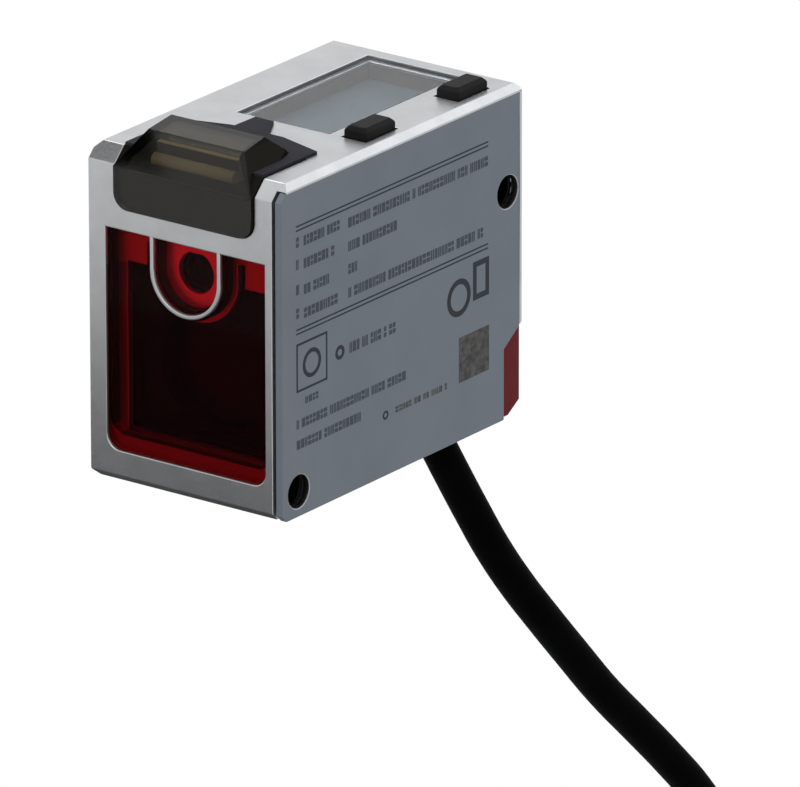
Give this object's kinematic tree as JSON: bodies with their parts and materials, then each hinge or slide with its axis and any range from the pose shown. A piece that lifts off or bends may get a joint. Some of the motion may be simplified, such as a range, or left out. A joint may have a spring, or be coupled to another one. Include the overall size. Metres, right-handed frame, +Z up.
{
  "type": "laser photoelectric sensor",
  "caption": "Compact block-shaped laser photoelectric sensor with red front windows, smoky indicator cap, display window, push buttons on top and a cable pigtail with a round plug",
  "frame": {"origin": "middle between the two mounting holes, on the left face that goes against the bracket", "axes": "+X from the mounting face to the side cover, +Y from the front windows to the rear, +Z up"},
  "size_m": [0.03, 0.1368, 0.2514],
  "materials": {
    "cast_metal": "die-cast and lightly polished",
    "cover_paint": "satin blue-grey",
    "black_rubber": "matt",
    "flange_rubber": "slate grey, matt",
    "carrier_plastic": "brown-grey",
    "red_filter": "clear deep red",
    "smoky_plastic": "smoky, gloss",
    "milky_plastic": "milky",
    "board_green": "green solder mask",
    "lamp": "clear cast resin",
    "clear_window": "clear",
    "display_panel": "dark blue-grey panel",
    "button_plastic": "fine matt",
    "switch_steel": "satin",
    "optical_black": "black, matt",
    "screw_steel": "plated",
    "barrel_brass": "turned",
    "lens_glass": "clear",
    "gold_contact": "gold plated",
    "connector_ivory": "ivory",
    "flex_film": "amber film",
    "entry_red": "red, satin",
    "lead_brown_pvc": "satin",
    "lead_white_pvc": "satin",
    "lead_blue_pvc": "satin",
    "lead_black_pvc": "satin",
    "cable_pvc": "satin black jacket",
    "plug_moulding": "fine matt",
    "nickel": "satin nickel"
  },
  "bodies": {
    "case": {"housing": "cast_metal", "side_cover": "cover_paint", "cover_gasket": "black_rubber", "receiver_window": "red_filter", "receiver_seal": "black_rubber", "emitter_window": "red_filter", "emitter_seal": "black_rubber", "indicator_cap": "smoky_plastic", "cap_gasket": "flange_rubber", "indicator_light_guide": "milky_plastic", "indicator_board": "board_green", "indicator_lamps": "lamp", "display_window": "clear_window", "display_gasket": "black_rubber", "display_carrier": "carrier_plastic", "display_panel": "display_panel", "display_board": "board_green", "front_button_seal": "black_rubber", "rear_button_seal": "black_rubber", "front_switch": "switch_steel", "rear_switch": "switch_steel", "optical_block": "optical_black", "block_screws": "screw_steel", "emitter_barrel": "barrel_brass", "collimator_lens": "lens_glass", "lens_ring": "optical_black", "laser_diode": "gold_contact", "receiver_lens": "lens_glass", "receiver_chip": "optical_black", "sensor_board": "board_green", "main_board": "board_green", "processor": "optical_black", "board_connector": "connector_ivory", "board_screws": "screw_steel", "flex_cable": "flex_film", "cable_block": "entry_red", "cable_seal": "black_rubber", "cable_clamp": "screw_steel", "strain_relief": "black_rubber", "lead_brown": "lead_brown_pvc", "lead_white": "lead_white_pvc", "lead_blue": "lead_blue_pvc", "lead_black": "lead_black_pvc", "cable": "cable_pvc", "plug_body": "plug_moulding", "plug_insert": "plug_moulding", "plug_pins": "gold_contact"},
    "front_button": {"front_button": "button_plastic"},
    "rear_button": {"rear_button": "button_plastic"},
    "coupling": {"plug_coupling": "nickel", "plug_o_ring": "black_rubber"}
  },
  "joints": [
    {"name": "front_button_press", "type": "slide", "parent": "case", "child": "front_button", "axis": [0, 0, -1], "range_m": [0, 0.00035], "stiffness_N_per_m": 2000, "springref_m": -0.0002},
    {"name": "rear_button_press", "type": "slide", "parent": "case", "child": "rear_button", "axis": [0, 0, -1], "range_m": [0, 0.00035], "stiffness_N_per_m": 2000, "springref_m": -0.0002},
    {"name": "coupling_turn", "type": "hinge", "parent": "case", "child": "coupling", "pos_m": [0.015, 0.1035, -0.2068], "axis": [0, 0, 1], "continuous": true}
  ]
}
